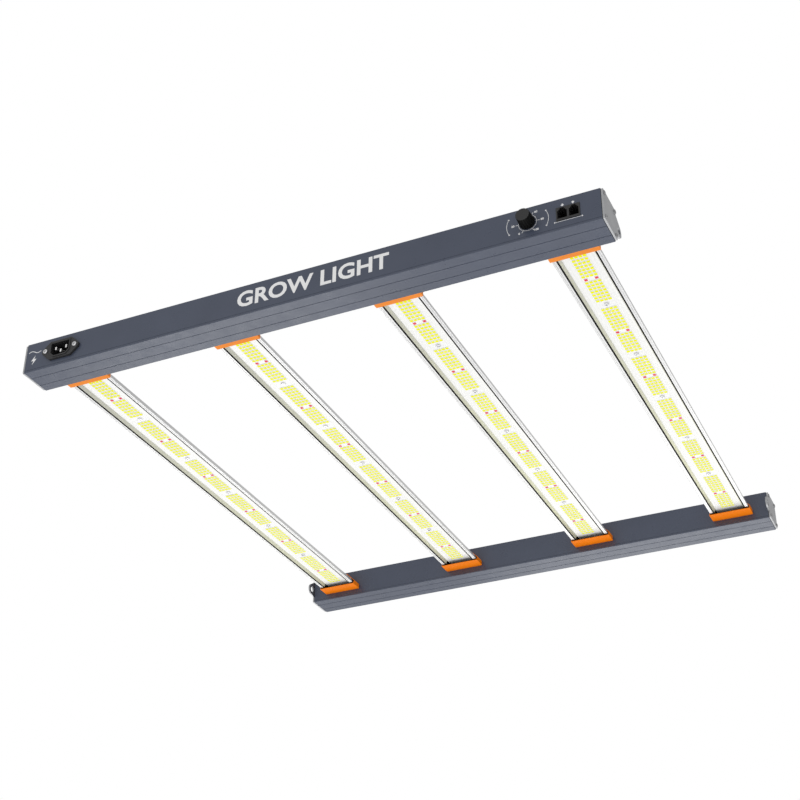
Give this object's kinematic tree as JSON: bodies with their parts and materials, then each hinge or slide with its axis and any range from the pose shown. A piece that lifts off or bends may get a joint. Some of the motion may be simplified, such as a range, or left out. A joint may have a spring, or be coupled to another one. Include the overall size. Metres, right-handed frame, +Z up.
{
  "type": "led grow light",
  "caption": "Square hanging grow light: parallel LED bars held by orange brackets between two slate rails, with a mains inlet, dimmer knob and dimming jacks on one rail.",
  "frame": {"origin": "centre of the bounding box's footprint, in the plane of the rails' undersides", "axes": "+X along the rails, to the right when facing the control panel; +Y from the control rail to the far rail, along the LED bars; +Z up, so the LEDs face -Z"},
  "size_m": [0.7044, 0.7736, 0.0388],
  "materials": {
    "rail_paint": "slate-grey powder coat, satin",
    "bare_steel": "bare sheet steel, fine brushing",
    "zinc_screw": "bright zinc plate",
    "gasket_rubber": "soft black foam rubber",
    "bar_aluminium": "natural mill-finish extrusion",
    "white_board": "white solder mask",
    "white_led": "yellow phosphor under clear resin",
    "red_led": "red resin lens",
    "thermal_pad": "grey silicone",
    "bracket_plastic": "orange glass-filled nylon",
    "white_plastic": "white nylon",
    "wire_skin": "black PVC",
    "black_plastic": "black, fine texture",
    "knob_plastic": "black ABS, satin",
    "nickel": "bright nickel plate",
    "brass": "gold-plated contact",
    "green_board": "green solder mask",
    "ferrite": "dark ferrite and tape",
    "can_sleeve": "dark printed sleeve",
    "clear_tray": "black polycarbonate film",
    "pot_metal": "tinned steel can"
  },
  "bodies": {
    "frame": {"control_rail": "rail_paint", "far_rail": "rail_paint", "end_plate_control_left": "bare_steel", "end_plate_control_right": "bare_steel", "end_plate_far_left": "bare_steel", "end_plate_far_right": "bare_steel", "end_gaskets": "gasket_rubber", "end_plate_screws": "zinc_screw", "board_screws": "zinc_screw", "thermal_pads": "thermal_pad", "bracket_rail_screws": "zinc_screw", "bracket_bar_screws": "zinc_screw", "lead_grommets": "gasket_rubber", "bar_terminals": "white_plastic", "bar_leads": "wire_skin", "driver_board": "green_board", "driver_connectors": "white_plastic", "driver_transformers": "ferrite", "driver_capacitors": "can_sleeve", "driver_chokes": "ferrite", "power_transistors": "black_plastic", "insulating_tray": "clear_tray", "inlet_body": "black_plastic", "inlet_pins": "nickel", "inlet_screws": "zinc_screw", "inlet_leads": "wire_skin", "dimmer_body": "pot_metal", "dimmer_nut": "nickel", "jack_housing": "black_plastic", "jack_contacts": "brass", "control_board": "green_board", "control_chips": "black_plastic", "ribbon_cable": "wire_skin", "heat_sink_1": "bar_aluminium", "led_board_1": "white_board", "white_leds_1": "white_led", "red_leds_1": "red_led", "control_bracket_1": "bracket_plastic", "far_bracket_1": "bracket_plastic", "heat_sink_2": "bar_aluminium", "led_board_2": "white_board", "white_leds_2": "white_led", "red_leds_2": "red_led", "control_bracket_2": "bracket_plastic", "far_bracket_2": "bracket_plastic", "heat_sink_3": "bar_aluminium", "led_board_3": "white_board", "white_leds_3": "white_led", "red_leds_3": "red_led", "control_bracket_3": "bracket_plastic", "far_bracket_3": "bracket_plastic", "heat_sink_4": "bar_aluminium", "led_board_4": "white_board", "white_leds_4": "white_led", "red_leds_4": "red_led", "control_bracket_4": "bracket_plastic", "far_bracket_4": "bracket_plastic"},
    "dimmer": {"dimmer_knob": "knob_plastic", "dimmer_shaft": "nickel", "dimmer_wiper": "brass"}
  },
  "joints": [
    {"name": "dimmer_turn", "type": "hinge", "parent": "frame", "child": "dimmer", "pos_m": [0.2703, -0.37125, 0.0195], "axis": [0, 1, 0], "range_deg": [-150, 150]}
  ]
}
